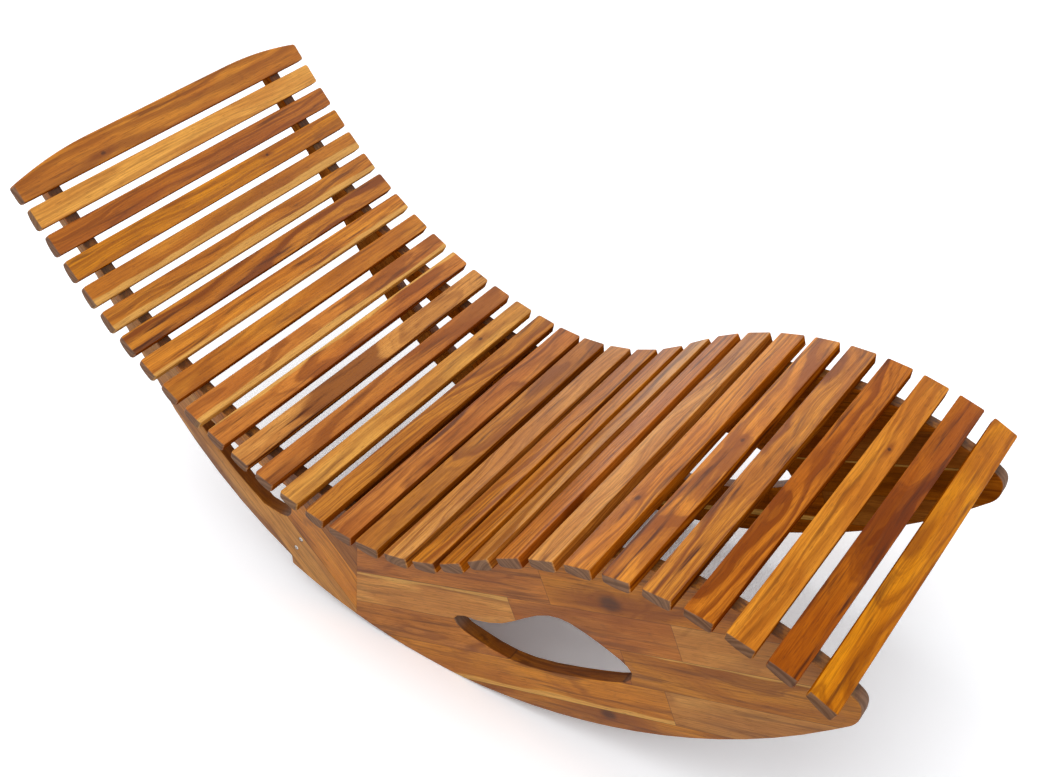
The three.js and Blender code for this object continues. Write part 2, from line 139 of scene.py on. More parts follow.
floor_links.new(floor_tint.outputs[2], floor_shader.inputs["Base Color"])
floor.data.materials.append(floor_paint)

# Hardwood
# The whole lounge is one oiled tropical hardwood: ring bands cut through at a slant, dark mineral
# streaks, fine fibres and pores, pale sapwood along some edges and a greyer end grain.
timber_tones = {
    "honey": (0.89, 0.60, 0.235),
    "golden": (0.80, 0.48, 0.12),
    "amber": (0.80, 0.47, 0.03),
    "tan": (0.785, 0.51, 0.22),
    "medium": (0.765, 0.455, 0.11),
    "reddish": (0.745, 0.43, 0.14),
    "dark": (0.68, 0.37, 0.07),
    "umber": (0.65, 0.33, 0.02),
}
light_figure = (1.30, 1.52, 1.8, 1.0)
dark_figure = (0.42, 0.31, 0.24, 1.0)
pale_sapwood = (0.95, 0.72, 0.36)
streak_brown = (0.31, 0.14, 0.05)
end_grain_light = (0.53, 0.41, 0.33)
end_grain_dark = (0.42, 0.31, 0.24)
knot_brown = (0.21, 0.10, 0.06)
glue_brown = (0.24, 0.11, 0.05)
# The grime colour also paints the shade under the slats
grime_and_shade_brown = (0.22, 0.15, 0.11)


def linear(colour):
    return tuple(((c + 0.055) / 1.055) ** 2.4 if c > 0.04045 else c / 12.92 for c in colour) + (1.0,)


# A material and the means to put its pattern together. The noises take how many times they repeat in a
# metre, and a ramp takes where it starts and ends and what it gives there.
class Finish:
    def __init__(self, name):
        self.material = bpy.data.materials.new(name)
        self.material.use_nodes = True
        self.tree = self.material.node_tree
        self.shader = self.tree.nodes["Principled BSDF"]

    def node(self, kind, inputs=None, **settings):
        made = self.tree.nodes.new(kind)
        for key, value in settings.items():
            setattr(made, key, value)
        for key, value in (inputs or {}).items():
            if isinstance(value, bpy.types.NodeSocket):
                self.tree.links.new(value, made.inputs[key])
            else:
                made.inputs[key].default_value = value
        return made

    def mark(self, name, output="Fac"):
        return self.node("ShaderNodeAttribute", attribute_name=name).outputs[output]

    def vector(self, operation, first, second):
        return self.node("ShaderNodeVectorMath", {0: first, 1: second}, operation=operation).outputs[0]

    def length(self, value):
        return self.node("ShaderNodeVectorMath", {0: value}, operation="LENGTH").outputs["Value"]

    def sums(self, operation, first, second):
        return self.node("ShaderNodeMath", {0: first, 1: second}, operation=operation).outputs[0]

    def noise(self, place, stretch, detail, roughness=0.5):
        at = self.vector("MULTIPLY", place, stretch)
        return self.node("ShaderNodeTexNoise", {"Vector": at, "Scale": 1.0, "Detail": detail,
                                                "Roughness": roughness})

    def line_noise(self, value, scale, detail, roughness=0.5):
        at = self.sums("MULTIPLY", value, scale)
        inputs = {"W": at, "Scale": 1.0, "Detail": detail, "Roughness": roughness}
        return self.node("ShaderNodeTexNoise", inputs, noise_dimensions="1D").outputs["Fac"]

    def wander(self, place, stretch, reach):
        loose = self.vector("SUBTRACT", self.noise(place, stretch, 2.0).outputs["Color"], (0.5, 0.5, 0.5))
        return self.vector("MULTIPLY", loose, (reach, 0.0, reach))

    def ramp(self, value, low, high, to_low=0.0, to_high=1.0):
        inputs = {"Value": value, "From Min": low, "From Max": high, "To Min": to_low, "To Max": to_high}
        return self.node("ShaderNodeMapRange", inputs, interpolation_type="SMOOTHSTEP").outputs[0]

    def tint(self, amount, under, over, blend="MIX"):
        return self.node("ShaderNodeMix", {0: amount, 6: under, 7: over}, data_type="RGBA",
                         blend_type=blend).outputs[2]

    def wire(self, value, socket):
        self.tree.links.new(value, self.shader.inputs[socket])


wood = Finish("oiled_hardwood")
hardwood = wood.material
board_place = wood.mark("board", "Vector")
log_place = wood.vector("ADD", board_place, wood.mark("log", "Vector"))
tone_mark = wood.mark("tone", "Color")
figure_mark = wood.mark("figure")
end_mark = wood.mark("end_grain")
sheen_mark = wood.mark("sheen")

# Rings round the heart of the log, bent by its growth and pushed aside by a knot
knot = wood.node("ShaderNodeSeparateXYZ", {0: wood.mark("knot", "Vector")}).outputs
knot_centre = wood.node("ShaderNodeCombineXYZ", {0: knot[0], 1: knot[1]}).outputs[0]
knot_offset = wood.vector("ADD", wood.vector("SUBTRACT", board_place, knot_centre),
                          wood.wander(log_place, (70.0, 35.0, 70.0), 0.008))
knot_oval = wood.vector("MULTIPLY", knot_offset, (1.0, 0.65, 0.0))
trail_oval = wood.vector("MULTIPLY", knot_offset, (1.0, 0.22, 0.0))
from_knot = wood.sums("DIVIDE", wood.length(knot_oval), knot[2])
knot_trail = wood.sums("DIVIDE", wood.length(trail_oval), knot[2])
knot_push = wood.sums("MULTIPLY", wood.ramp(from_knot, 0.0, 3.5, 0.6, 0.0), knot[2])
grown = wood.vector("ADD", log_place, wood.wander(log_place, (4.5, 1.5, 4.5), 0.07))
grown = wood.vector("ADD", grown, wood.wander(log_place, (26.0, 5.0, 26.0), 0.011))
grown = wood.vector("ADD", grown, wood.wander(log_place, (150.0, 24.0, 150.0), 0.0014))
ring_radius = wood.sums("ADD", wood.length(wood.vector("MULTIPLY", grown, (1.0, 0.0, 1.0))), knot_push)
rings = wood.line_noise(ring_radius, 165.0, 3.0, 0.55)
fine_rings = wood.line_noise(ring_radius, 700.0, 2.0)
broad_rings = wood.line_noise(ring_radius, 58.0, 1.0)

# Streaks, clouds, fibres and pores run along the board
streak_place = wood.vector("ADD", log_place, wood.wander(log_place, (9.0, 3.0, 9.0), 0.022))
streaks = wood.noise(streak_place, (105.0, 4.5, 105.0), 3.0, 0.6).outputs["Fac"]
thin_streaks = wood.noise(streak_place, (360.0, 7.0, 360.0), 2.0, 0.55).outputs["Fac"]
clouds = wood.noise(log_place, (26.0, 6.0, 26.0), 2.0).outputs["Fac"]
fibres = wood.noise(log_place, (520.0, 12.0, 520.0), 3.0, 0.7).outputs["Fac"]
pores = wood.ramp(wood.noise(log_place, (1100.0, 60.0, 1100.0), 1.0).outputs["Fac"], 0.6, 0.74)


def figured(amount):
    return wood.sums("MULTIPLY", amount, figure_mark)


light_wood = wood.tint(1.0, tone_mark, light_figure, "MULTIPLY")
dark_wood = wood.tint(1.0, tone_mark, dark_figure, "MULTIPLY")
colour = wood.tint(wood.ramp(clouds, 0.42, 0.62, 0.0, 0.85), tone_mark, light_wood)
colour = wood.tint(wood.ramp(broad_rings, 0.48, 0.64, 0.0, 0.6), colour, light_wood)
colour = wood.tint(figured(wood.ramp(rings, 0.59, 0.33)), colour, dark_wood)
colour = wood.tint(figured(wood.ramp(fine_rings, 0.52, 0.72, 0.0, 0.25)), colour, dark_wood)
colour = wood.tint(figured(wood.ramp(thin_streaks, 0.52, 0.7, 0.0, 0.45)), colour, dark_wood)
colour = wood.tint(figured(wood.ramp(streaks, 0.52, 0.72, 0.0, 1.1)), colour, linear(streak_brown))
sapwood_wander = wood.sums("MULTIPLY", wood.sums("SUBTRACT", clouds, 0.5), 0.02)
sapwood_edge = wood.sums("ADD", wood.mark("sapwood"), sapwood_wander)
colour = wood.tint(wood.ramp(sapwood_edge, -0.0008, 0.0018, 0.0, 0.8), colour, linear(pale_sapwood))
colour = wood.tint(wood.ramp(knot_trail, 2.4, 0.5, 0.0, 0.75), colour, dark_wood)
colour = wood.tint(wood.ramp(from_knot, 1.25, 0.35, 0.0, 0.85), colour, linear(knot_brown))
colour = wood.tint(wood.ramp(fibres, 0.3, 0.66, 0.4, 0.0), colour, dark_wood)
colour = wood.tint(wood.sums("MULTIPLY", pores, 0.4), colour, linear(streak_brown))
end_rings = wood.tint(wood.ramp(rings, 0.36, 0.64), linear(end_grain_dark), linear(end_grain_light))
end_rings = wood.tint(wood.ramp(fine_rings, 0.45, 0.65, 0.0, 0.3), end_rings, linear(end_grain_dark))
colour = wood.tint(wood.sums("MULTIPLY", end_mark, 0.88), colour, end_rings)

# Dark glue lines between staves, and grime mixed with painted shade in the corners under the slats
absolute = wood.node("ShaderNodeVectorMath", {0: board_place}, operation="ABSOLUTE").outputs[0]
to_edge = wood.vector("SUBTRACT", wood.mark("half_size", "Vector"), absolute)
to_edge = wood.node("ShaderNodeSeparateXYZ", {0: to_edge}).outputs
glue = wood.ramp(wood.sums("MINIMUM", to_edge[0], to_edge[1]), 0.0008, 0.0001, 0.0, 0.6)
colour = wood.tint(glue, colour, linear(glue_brown))
blotches = wood.noise(log_place, (70.0, 50.0, 70.0), 3.0, 0.6).outputs["Fac"]
patchy = wood.sums("MULTIPLY", wood.sums("SUBTRACT", blotches, 0.5), 1.8)
grime_and_shade = wood.sums("ADD", wood.mark("grime_and_shade"), patchy)
colour = wood.tint(wood.ramp(grime_and_shade, 0.2, 0.95, 0.0, 0.7), colour, linear(grime_and_shade_brown))

wood.wire(colour, "Base Color")
roughness = wood.ramp(fibres, 0.25, 0.75, 0.44, 0.32)
roughness = wood.sums("ADD", roughness, wood.sums("MULTIPLY", end_mark, 0.3))
wood.wire(wood.sums("ADD", roughness, wood.sums("MULTIPLY", pores, 0.15)), "Roughness")
wood.wire(sheen_mark, "Specular IOR Level")
relief = wood.sums("SUBTRACT", fibres, wood.sums("MULTIPLY", pores, 0.8))
wood_bump = wood.node("ShaderNodeBump", {"Height": relief, "Strength": 0.25, "Distance": 0.0006})
wood.wire(wood_bump.outputs["Normal"], "Normal")

no_knot = (9.0, 9.0, 0.001)
no_sapwood = -9.0
solid_piece = (9.0, 9.0, 9.0)
planed_sheen = 0.43
worn_sheen = 0.12
sawn_sheen = 0.0
# Painted shade: the tint that darkens and deepens the colour of covered faces
painted_shade_tint = (0.72, 0.54, 0.34)
end_grain_from = 0.6
end_grain_full = 0.9
sideways = 0.5
mark_kinds = {
    "board": "FLOAT_VECTOR", "log": "FLOAT_VECTOR", "knot": "FLOAT_VECTOR", "half_size": "FLOAT_VECTOR",
    "tone": "FLOAT_COLOR", "figure": "FLOAT", "sapwood": "FLOAT", "end_grain": "FLOAT", "grime_and_shade": "FLOAT",
    "sheen": "FLOAT",
}


# Where in its log a stave was sawn: beside and above the heart, and how far along
def sawn_from(seed):
    draw = random.Random(seed)
    return (draw.uniform(-0.06, 0.06), draw.uniform(1.0, 9.0), draw.uniform(0.035, 0.11))


# Marks every corner of a mesh with its place in its stave and with how that stave looks. stave_of(polygon)
# gives that look, whose covered(normal) tells which faces are sheltered: their colour is darkened and
# deepened with painted shade, and they stay as the saw left them. The last argument is 1 where dirt gathers
# and painted shade is laid.
def mark_grain(mesh, stave_of, grime_and_shade_at=None):
    for name, kind in mark_kinds.items():
        mesh.attributes.new(name, kind, "CORNER")
    marks = {name: mesh.attributes[name].data for name in mark_kinds}
    normals = [Vector(corner.vector) for corner in mesh.corner_normals]
    for polygon in mesh.polygons:
        stave = stave_of(polygon)
        brightness = stave.get("brightness", 1.0)
        tone = [c * brightness for c in linear(timber_tones[stave["tone"]])]
        covered = stave["covered"](polygon.normal)
        if covered:
            tone = [c * shade for c, shade in zip(tone, painted_shade_tint + (1.0,))]
        sheen = sawn_sheen if covered else stave.get("sheen", planed_sheen)
        for corner in polygon.loop_indices:
            place = mesh.vertices[mesh.loops[corner].vertex_index].co
            at = Vector([(place - stave["origin"]).dot(axis) for axis in stave["axes"]])
            marks["board"][corner].vector = at
            marks["log"][corner].vector = stave["log"]
            marks["knot"][corner].vector = stave.get("knot", no_knot)
            marks["half_size"][corner].vector = stave.get("half_size", solid_piece)
            marks["tone"][corner].color = tone
            marks["figure"][corner].value = stave["figure"]
            edge, side = stave.get("sapwood", (no_sapwood, 0))
            marks["sapwood"][corner].value = at.x * side - edge if side else no_sapwood
            facing = abs(normals[corner].dot(stave["axes"][1]))
            share = (facing - end_grain_from) / (end_grain_full - end_grain_from)
            marks["end_grain"][corner].value = min(1.0, max(0.0, share))
            marks["grime_and_shade"][corner].value = grime_and_shade_at(place, normals[corner]) if grime_and_shade_at else 0.0
            marks["sheen"][corner].value = sheen


# Lays a piece that was made flat at the origin along three axes, right-handed ones, from an origin
def settle(piece, axes, origin):
    turn = Matrix(axes).transposed().to_4x4()
    piece.data.transform(Matrix.Translation(origin) @ turn)
    piece.data.update()


def select_edges(piece, wanted):
    edit = bmesh.from_edit_mesh(piece.data)
    for edge in edit.edges:
        edge.select_set(wanted(edge))
    edit.select_flush_mode()
    bmesh.update_edit_mesh(piece.data)


level_face = 0.7
upright_face = 0.3


# Whether an edge lies between the upper (up is 1) or the lower (up is -1) face and a side
def is_rim(edge, up):
    level = any(face.normal.z * up > level_face for face in edge.link_faces)
    return level and any(abs(face.normal.z) < upright_face for face in edge.link_faces)


# Slats
# Thirty planed strips of the hardwood lie across the side boards, each glued on two hidden pegs. Their
# upper arrises are eased, the lower one on the head side is rounded more, and the corners of their square
# sawn ends are rounded off. The one at the head is bowed up in the middle.
slat_thickness = 0.018
back_plan_radius = 0.0045
seat_plan_radius = 0.0034
slat_upper_radius = 0.0016
head_upper_radius = 0.0031
head_side_radius = 0.0075
foot_side_radius = 0.0012
seat_width = 0.04
crown_height = 0.0193
crown_shoulder = 0.165
crown_cuts = 52
near_end = 0.499
body_depth = 0.9
least_rise = 0.1


def new_slat(width, length, crowned):
    plan_radius = seat_plan_radius if width > seat_width and not crowned else back_plan_radius
    bpy.ops.object.select_all(action="DESELECT")
    bpy.ops.mesh.primitive_cube_add(size=1, location=(0, 0, -slat_thickness / 2))
    slat = bpy.context.object
    slat.name = "slat_pattern"
    slat.scale = (width, length, slat_thickness)
    bpy.ops.object.transform_apply(location=True, rotation=False, scale=True)
    bpy.ops.object.mode_set(mode="EDIT")
    bpy.ops.mesh.select_mode(type="EDGE")
    if crowned:
        select_edges(slat, lambda e: abs(e.verts[0].co.y - e.verts[1].co.y) > length / 2)
        bpy.ops.mesh.subdivide(number_cuts=crown_cuts)
        bend = (crown_shoulder ** 2 + crown_height ** 2) / (2 * crown_height)
        edit = bmesh.from_edit_mesh(slat.data)
        for vertex in edit.verts:
            past = max(0.0, abs(vertex.co.y) - (length / 2 - crown_shoulder))
            if vertex.co.x < 0:
                vertex.co.x += bend - math.sqrt(bend ** 2 - past ** 2)
        bmesh.update_edit_mesh(slat.data)
    select_edges(slat, lambda e: abs(e.verts[0].co.z - e.verts[1].co.z) > slat_thickness / 2
                 and min(abs(v.co.y) for v in e.verts) > near_end * length)
    bpy.ops.mesh.bevel(offset=plan_radius, segments=4)
    select_edges(slat, lambda e: is_rim(e, 1))
    bpy.ops.mesh.bevel(offset=head_upper_radius if crowned else slat_upper_radius, segments=3)
    select_edges(slat, lambda e: is_rim(e, -1) and max(v.co.x for v in e.verts) < -width / 4)
    bpy.ops.mesh.bevel(offset=head_side_radius, segments=6)
    select_edges(slat, lambda e: is_rim(e, -1) and min(v.co.x for v in e.verts) > width / 4)
    bpy.ops.mesh.bevel(offset=foot_side_radius, segments=2)
    bpy.ops.object.mode_set(mode="OBJECT")
    bpy.ops.object.shade_smooth_by_angle(angle=math.radians(40))
    return slat


# The slat's own axes from its CAD node: across it towards the foot, along it to the left, and up
def slat_seat(node):
    mesh = node.data
    up = max((p for p in mesh.polygons if p.normal.z > least_rise), key=lambda p: p.area).normal.copy()
    along = Vector((0, 1, 0))
    across = along.cross(up)
    height = max(v.co.dot(up) for v in mesh.vertices)
    body = [v.co for v in mesh.vertices if height - v.co.dot(up) < body_depth * slat_thickness]
    reach = [co.dot(across) for co in body]
    width = max(reach) - min(reach)
    length = 2 * max(co.y for co in body)
    origin = across * (max(reach) - width / 2) + up * height
    return {"axes": (across, along, up), "origin": origin, "width": width, "length": length}


# For each slat from the head: tone, brightness, strength of the figure, and sapwood, which is its width and
# whether it is on the foot side (1) or head side (-1)
slat_looks = [
    ("medium", 1.11, 0.6, None), ("honey", 1.09, 0.35, None), ("dark", 1.16, 0.65, None),
    ("amber", 1.01, 0.55, None), ("medium", 1.05, 0.6, (0.012, 1)), ("medium", 1.08, 0.65, (0.011, 1)),
    ("medium", 1.06, 1.0, None), ("golden", 1.13, 0.8, (0.007, 1)), ("medium", 1.08, 0.5, None),
    ("reddish", 1.09, 0.6, (0.009, 1)), ("reddish", 1.13, 0.75, (0.005, -1)), ("tan", 1.09, 0.9, None),
    ("reddish", 0.97, 0.6, None), ("honey", 0.89, 0.45, None), ("golden", 0.86, 0.8, None),
    ("reddish", 1.0, 0.8, None), ("golden", 0.77, 0.75, None), ("tan", 1.06, 0.75, None),
    ("medium", 1.01, 0.8, None), ("medium", 1.03, 0.75, None), ("tan", 1.02, 0.75, None),
    ("reddish", 1.09, 0.8, None), ("tan", 1.13, 0.75, None), ("golden", 1.1, 0.8, None),
    ("medium", 1.22, 0.9, None), ("golden", 0.95, 1.0, None), ("dark", 1.2, 0.9, None),
    ("golden", 1.04, 0.5, None), ("umber", 1.03, 0.95, None), ("amber", 0.98, 0.75, None),
]
# Knots by slat: across it, along it, and their radius
slat_knots = {1: (0.012, -0.155, 0.004), 4: (-0.006, 0.13, 0.0025), 14: (-0.004, 0.19, 0.004),
              24: (-0.004, -0.16, 0.005), 25: (0.006, 0.02, 0.004), 28: (0.004, 0.13, 0.003)}

worn_from = 26
top_facing = 0.4
slat_patterns = {}


def slat_name(number):
    return "head_slat" if number == 1 else f"slat_{number:02d}"


for number, (tone, brightness, figure, sapwood) in enumerate(slat_looks, start=1):
    node_name = slat_name(number)
    seat = slat_seat(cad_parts[node_name])
    top = seat["axes"][2]
    key = (number == 1, round(seat["width"], 4))
    if key not in slat_patterns:
        slat_patterns[key] = new_slat(seat["width"], seat["length"], number == 1)
    slat = slat_patterns[key].copy()
    slat.data = slat.data.copy()
    slat.name = slat.data.name = f"{node_name}_wood"
    bpy.context.collection.objects.link(slat)
    settle(slat, seat["axes"], seat["origin"])
    slat.data.materials.append(hardwood)
    # The slats' sides and undersides count as covered and get painted shade
    look = {"axes": seat["axes"], "origin": seat["origin"], "log": sawn_from(number), "tone": tone,
            "brightness": brightness, "figure": figure, "knot": slat_knots.get(number, no_knot),
            "covered": lambda normal: normal.dot(top) < top_facing and abs(normal.y) < sideways,
            "sheen": worn_sheen if number > worn_from else planed_sheen}
    if sapwood:
        width, side = sapwood
        look["sapwood"] = (seat["width"] / 2 - width, side)
    mark_grain(slat.data, lambda polygon: look)
    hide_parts(node_name)
    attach(slat, "root")
for pattern in slat_patterns.values():
    bpy.data.objects.remove(pattern)

# Side boards
# Each side is a rear and a front board of 25 mm staves glued edge to edge, butted at a dowelled seam.
# The rear board's staves run down its slope, and the front board's rise gently to the foot.
side_edge_radius = 0.0024
stave_width = 0.063
seam_foot = Vector((-0.124, 0.0))
seam_lean = math.radians(5.7)
seam_normal = Vector((math.cos(seam_lean), -math.sin(seam_lean)))
seam_gap = 0.0003
seam_overrun = 0.02
flush = 0.0002
facing_side = 0.9
weld_reach = 0.00002
window_least = 0.02
upward_facing = 0.3
# Where grime and painted shade lie on the top edges beside the foot side of each slat
grime_and_shade_reach = 0.024
grime_and_shade_under_slat = 0.006
grime_and_shade_depths = (0.015, 0.026)
# Painted shade on the top edges of the boards and on the walls of the windows, which also take a deeper tone
top_edge_shade = 0.72
window_wall_shade = 0.6
window_wall_shade_tone = "dark"
stave_slopes = {"front": math.radians(21.5), "rear": math.radians(-45)}
stave_bases = {"front": -0.035, "rear": -0.002}
glue_lines = range(-8, 10)
far = 2.0
log_numbers = {"rear_side_board_right": 0, "front_side_board_right": 500, "rear_side_board_left": 1000,
               "front_side_board_left": 1500}
logs_in_row = 10
# Each row of staves from its base line up, and for each stave: where it ends along the row, tone,
# brightness, figure, sapwood like that of the slats, and a knot by its place across the stave and along
# the row and by its radius. Only the right side, which the photo shows, has the knots.
front_staves = {
    -1: [(far, "medium", 1.04, 0.65, None, (0.024, 0.382, 0.011))],
    0: [(0.505, "medium", 1.1, 0.7, (0.009, -1), None), (far, "tan", 0.98, 0.45, None, None)],
    1: [(0.449, "reddish", 0.95, 0.65, None, None), (far, "medium", 0.94, 0.6, (0.004, 1), None)],
    2: [(0.263, "tan", 1.2, 0.45, (0.006, 1), None), (0.554, "reddish", 1.07, 0.5, None, None),
        (far, "tan", 1.14, 0.45, None, None)],
    3: [(0.346, "reddish", 1.14, 0.6, None, None), (far, "medium", 1.18, 0.6, None, (-0.012, 0.459, 0.015))],
    4: [(0.25, "tan", 1.1, 0.5, None, None), (far, "golden", 1.05, 0.5, None, None)],
}
rear_staves = {
    0: [(far, "reddish", 0.71, 0.7, None, None)],
    -1: [(far, "golden", 1.16, 0.7, None, None)],
    -2: [(far, "tan", 1.02, 0.4, None, None)],
    -3: [(far, "tan", 0.95, 0.6, None, None)],
}


# The closed outlines of the part of a CAD node that faces the side at y, as points in X and Z
def face_outlines(node, y):
    sides = set()
    for polygon in node.data.polygons:
        if abs(polygon.center.y - y) < flush and abs(polygon.normal.y) > facing_side:
            corners = [tuple(round(c, 5) for c in node.data.vertices[i].co) for i in polygon.vertices]
            sides.update(zip(corners, corners[1:] + corners[:1]))
    follow = {a: b for a, b in sides if (b, a) not in sides}
    loops = []
    while follow:
        start, point = follow.popitem()
        loop = [start]
        while point != start:
            loop.append(point)
            point = follow.pop(point)
        loops.append([Vector((p[0], p[2])) for p in loop])
    return loops


# Carries the ends of the seam edge straight on, so that the seam can be sawn back square after rounding
def past_seam(loop):
    off = [(point - seam_foot).dot(seam_normal) for point in loop]
    carried = []
    for index, point in enumerate(loop):
        near = (index - 1, (index + 1) % len(loop))
        if abs(off[index]) > seam_gap:
            carried.append(point)
        elif max(abs(off[i]) for i in near) > seam_gap:
            inward = max(near, key=lambda i: abs(off[i]))
            onward = (point - loop[inward]).normalized()
            carried.append(point + onward * seam_overrun / abs(onward.dot(seam_normal)))
    return carried


def board_from(name, loops, thickness):
    curve = bpy.data.curves.new(name, "CURVE")
    curve.dimensions = "2D"
    curve.fill_mode = "BOTH"
    curve.extrude = thickness / 2 - side_edge_radius
    curve.bevel_depth = side_edge_radius
    curve.bevel_resolution = 2
    curve.offset = -side_edge_radius
    for loop in loops:
        spline = curve.splines.new("POLY")
        spline.points.add(len(loop) - 1)
        for point, (x, z) in zip(spline.points, loop):
            point.co = (x, z, 0, 1)
        spline.use_cyclic_u = True
    holder = bpy.data.objects.new(name, curve)
    bpy.context.collection.objects.link(holder)
    bpy.ops.object.select_all(action="DESELECT")
    holder.select_set(True)
    bpy.context.view_layer.objects.active = holder
    bpy.ops.object.convert(target="MESH")
    board = bpy.context.object
    bpy.ops.object.mode_set(mode="EDIT")
    bpy.ops.mesh.select_all(action="SELECT")
    bpy.ops.mesh.remove_doubles(threshold=weld_reach)
    bpy.ops.mesh.normals_make_consistent(inside=False)
    bpy.ops.object.mode_set(mode="OBJECT")
    return board


slat_seats = [slat_seat(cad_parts[slat_name(n)]) for n in range(1, len(slat_looks) + 1)]


# 1 on the top edges close to the foot side of a slat, where dirt stays and the slat's painted shade is laid
def under_slat(place, normal):
    if normal.z < upward_facing:
        return 0.0
    most = 0.0
    for seat in slat_seats:
        across, _, up = seat["axes"]
        away = place - seat["origin"]
        past = away.dot(across) - seat["width"] / 2
        if grime_and_shade_depths[0] < -away.dot(up) < grime_and_shade_depths[1] and -grime_and_shade_under_slat < past < grime_and_shade_reach:
            most = max(most, 1 - max(0.0, past) / grime_and_shade_reach)
    return most


# The shortest way from a point to a closed outline
def off_outline(point, loop):
    shortest = far
    for first, second in zip(loop, loop[1:] + loop[:1]):
        run = second - first
        share = min(1.0, max(0.0, (point - first).dot(run) / run.length_squared))
        shortest = min(shortest, (first + run * share - point).length)
    return shortest


# Cuts round holes, each given by where it starts, which way it goes, its radius and its depth
def drill(piece, holes, sides=32):
    for start, way, radius, depth in holes:
        bpy.ops.object.select_all(action="DESELECT")
        bpy.ops.mesh.primitive_cylinder_add(vertices=sides, radius=radius, depth=depth,
                                            location=start + way * depth / 2,
                                            rotation=way.to_track_quat("Z", "Y").to_euler())
        bit = bpy.context.object
        bit.select_set(False)
        piece.select_set(True)
        bpy.context.view_layer.objects.active = piece
        hole = piece.modifiers.new("hole", "BOOLEAN")
        hole.operation = "DIFFERENCE"
        hole.solver = "EXACT"
        hole.object = bit
        bpy.ops.object.modifier_apply(modifier=hole.name)
        bpy.data.objects.remove(bit)


bolt_head_bore = 0.0048
bolt_bore = 0.0033
head_bore_depth = 0.0033
drill_overrun = 0.001
bolt_nodes = {side_name: [f"stretcher_bolt_{side_name}_{end}" for end in ("lower", "upper")]
              for side_name in ("left", "right")}

for side_name, side in (("left", 1), ("right", -1)):
    for part in ("rear", "front"):
        node_name = f"{part}_side_board_{side_name}"
        low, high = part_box(node_name)
        middle_y = (low.y + high.y) / 2
        loops = face_outlines(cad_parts[node_name], high.y if side > 0 else low.y)
        loops = [loop for loop in loops if max(p.x for p in loop) - min(p.x for p in loop) > window_least]
        board = board_from(f"{node_name}_wood", [past_seam(loop) for loop in loops], high.y - low.y)
        settle(board, (Vector((1, 0, 0)), Vector((0, 0, 1)), Vector((0, -1, 0))), Vector((0, middle_y, 0)))
        slope = stave_slopes[part]
        base = stave_bases[part]
        along = Vector((math.cos(slope), 0, math.sin(slope)))
        across = Vector((-math.sin(slope), 0, math.cos(slope)))
        rows = front_staves if part == "front" else rear_staves
        bpy.ops.object.mode_set(mode="EDIT")
        bpy.ops.mesh.select_all(action="SELECT")
        keep = 1 if part == "front" else -1
        seam_face = seam_foot + seam_normal * keep * seam_gap / 2
        bpy.ops.mesh.bisect(plane_co=(seam_face.x, 0, seam_face.y),
                            plane_no=(seam_normal.x, 0, seam_normal.y),
                            use_fill=True, clear_inner=keep > 0, clear_outer=keep < 0)
        for line in glue_lines:
            bpy.ops.mesh.select_all(action="SELECT")
            bpy.ops.mesh.bisect(plane_co=across * (base + line * stave_width), plane_no=across)
        bpy.ops.mesh.select_mode(type="FACE")
        for row, staves in rows.items():
            for end, *_ in staves[:-1]:
                edit = bmesh.from_edit_mesh(board.data)
                for face in edit.faces:
                    height = face.calc_center_median().dot(across) - base
                    face.select_set(math.floor(height / stave_width) == row)
                bmesh.update_edit_mesh(board.data)
                bpy.ops.mesh.bisect(plane_co=along * end, plane_no=along)
        bpy.ops.object.mode_set(mode="OBJECT")
        if part == "rear":
            outer_y = high.y if side > 0 else low.y
            for bolt_name in bolt_nodes[side_name]:
                bolt_low, bolt_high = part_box(bolt_name)
                middle = (bolt_low + bolt_high) / 2
                start = Vector((middle.x, outer_y + side * drill_overrun, middle.z))
                inward = Vector((0, -side, 0))
                drill(board, [(start, inward, bolt_head_bore, head_bore_depth + drill_overrun),
                              (start, inward, bolt_bore, high.y - low.y + 2 * drill_overrun)])
        bpy.ops.object.shade_smooth_by_angle(angle=math.radians(35))
        board.data.materials.append(hardwood)
        windows = sorted(loops, key=lambda loop: min(p.x for p in loop))[1:]

        def stave_look(polygon):
            row = math.floor((polygon.center.dot(across) - base) / stave_width)
            staves = rows.get(row, rows[max(rows) if row > 0 else min(rows)])
            start = -far
            for number, (end, tone, brightness, figure, sapwood, knot) in enumerate(staves):
                if polygon.center.dot(along) < end:
                    break
                start = end
            middle = (start + end) / 2
            origin = across * (base + (row + 0.5) * stave_width) + along * middle
            # Painted shade: window walls are darkened into a deeper tone, and other upward top edges are
            # darkened
            if abs(polygon.normal.y) < sideways:
                centre = Vector((polygon.center.x, polygon.center.z))
                if min((off_outline(centre, loop) for loop in windows), default=far) < side_edge_radius:
                    brightness *= window_wall_shade
                    tone = window_wall_shade_tone
                elif polygon.normal.z > upward_facing:
                    brightness *= top_edge_shade
            # The boards' inner faces count as covered and get painted shade
            look = {"axes": (across, along, Vector((0, side, 0))), "origin": origin, "tone": tone,
                    "brightness": brightness, "figure": figure,
                    "covered": lambda normal: normal.y * side < -sideways,
                    "log": sawn_from(log_numbers[node_name] + logs_in_row * row + number),
                    "half_size": (stave_width / 2, (end - start) / 2, 9.0)}
            if sapwood:
                look["sapwood"] = (stave_width / 2 - sapwood[0], sapwood[1])
            if knot and side < 0:
                look["knot"] = (knot[0], knot[1] - middle, knot[2])
            return look

        mark_grain(board.data, stave_look, under_slat)
        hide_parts(node_name)
        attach(board, "root")

# Stretcher
# A planed bar between the rear boards, leaned forward, with eased edges. Each end is drilled for two bolts,
# and each bolt screws into a barrel nut that was dropped into a blind pocket from the head side.
stretcher_depth = 0.065
stretcher_thickness = 0.024
stretcher_radius = 0.003
stretcher_lean = math.radians(27.4)
nut_pocket_radius = 0.0053
nut_pocket_depth = 0.0213
end_bore_depth = 0.0353
stretcher_log = 77

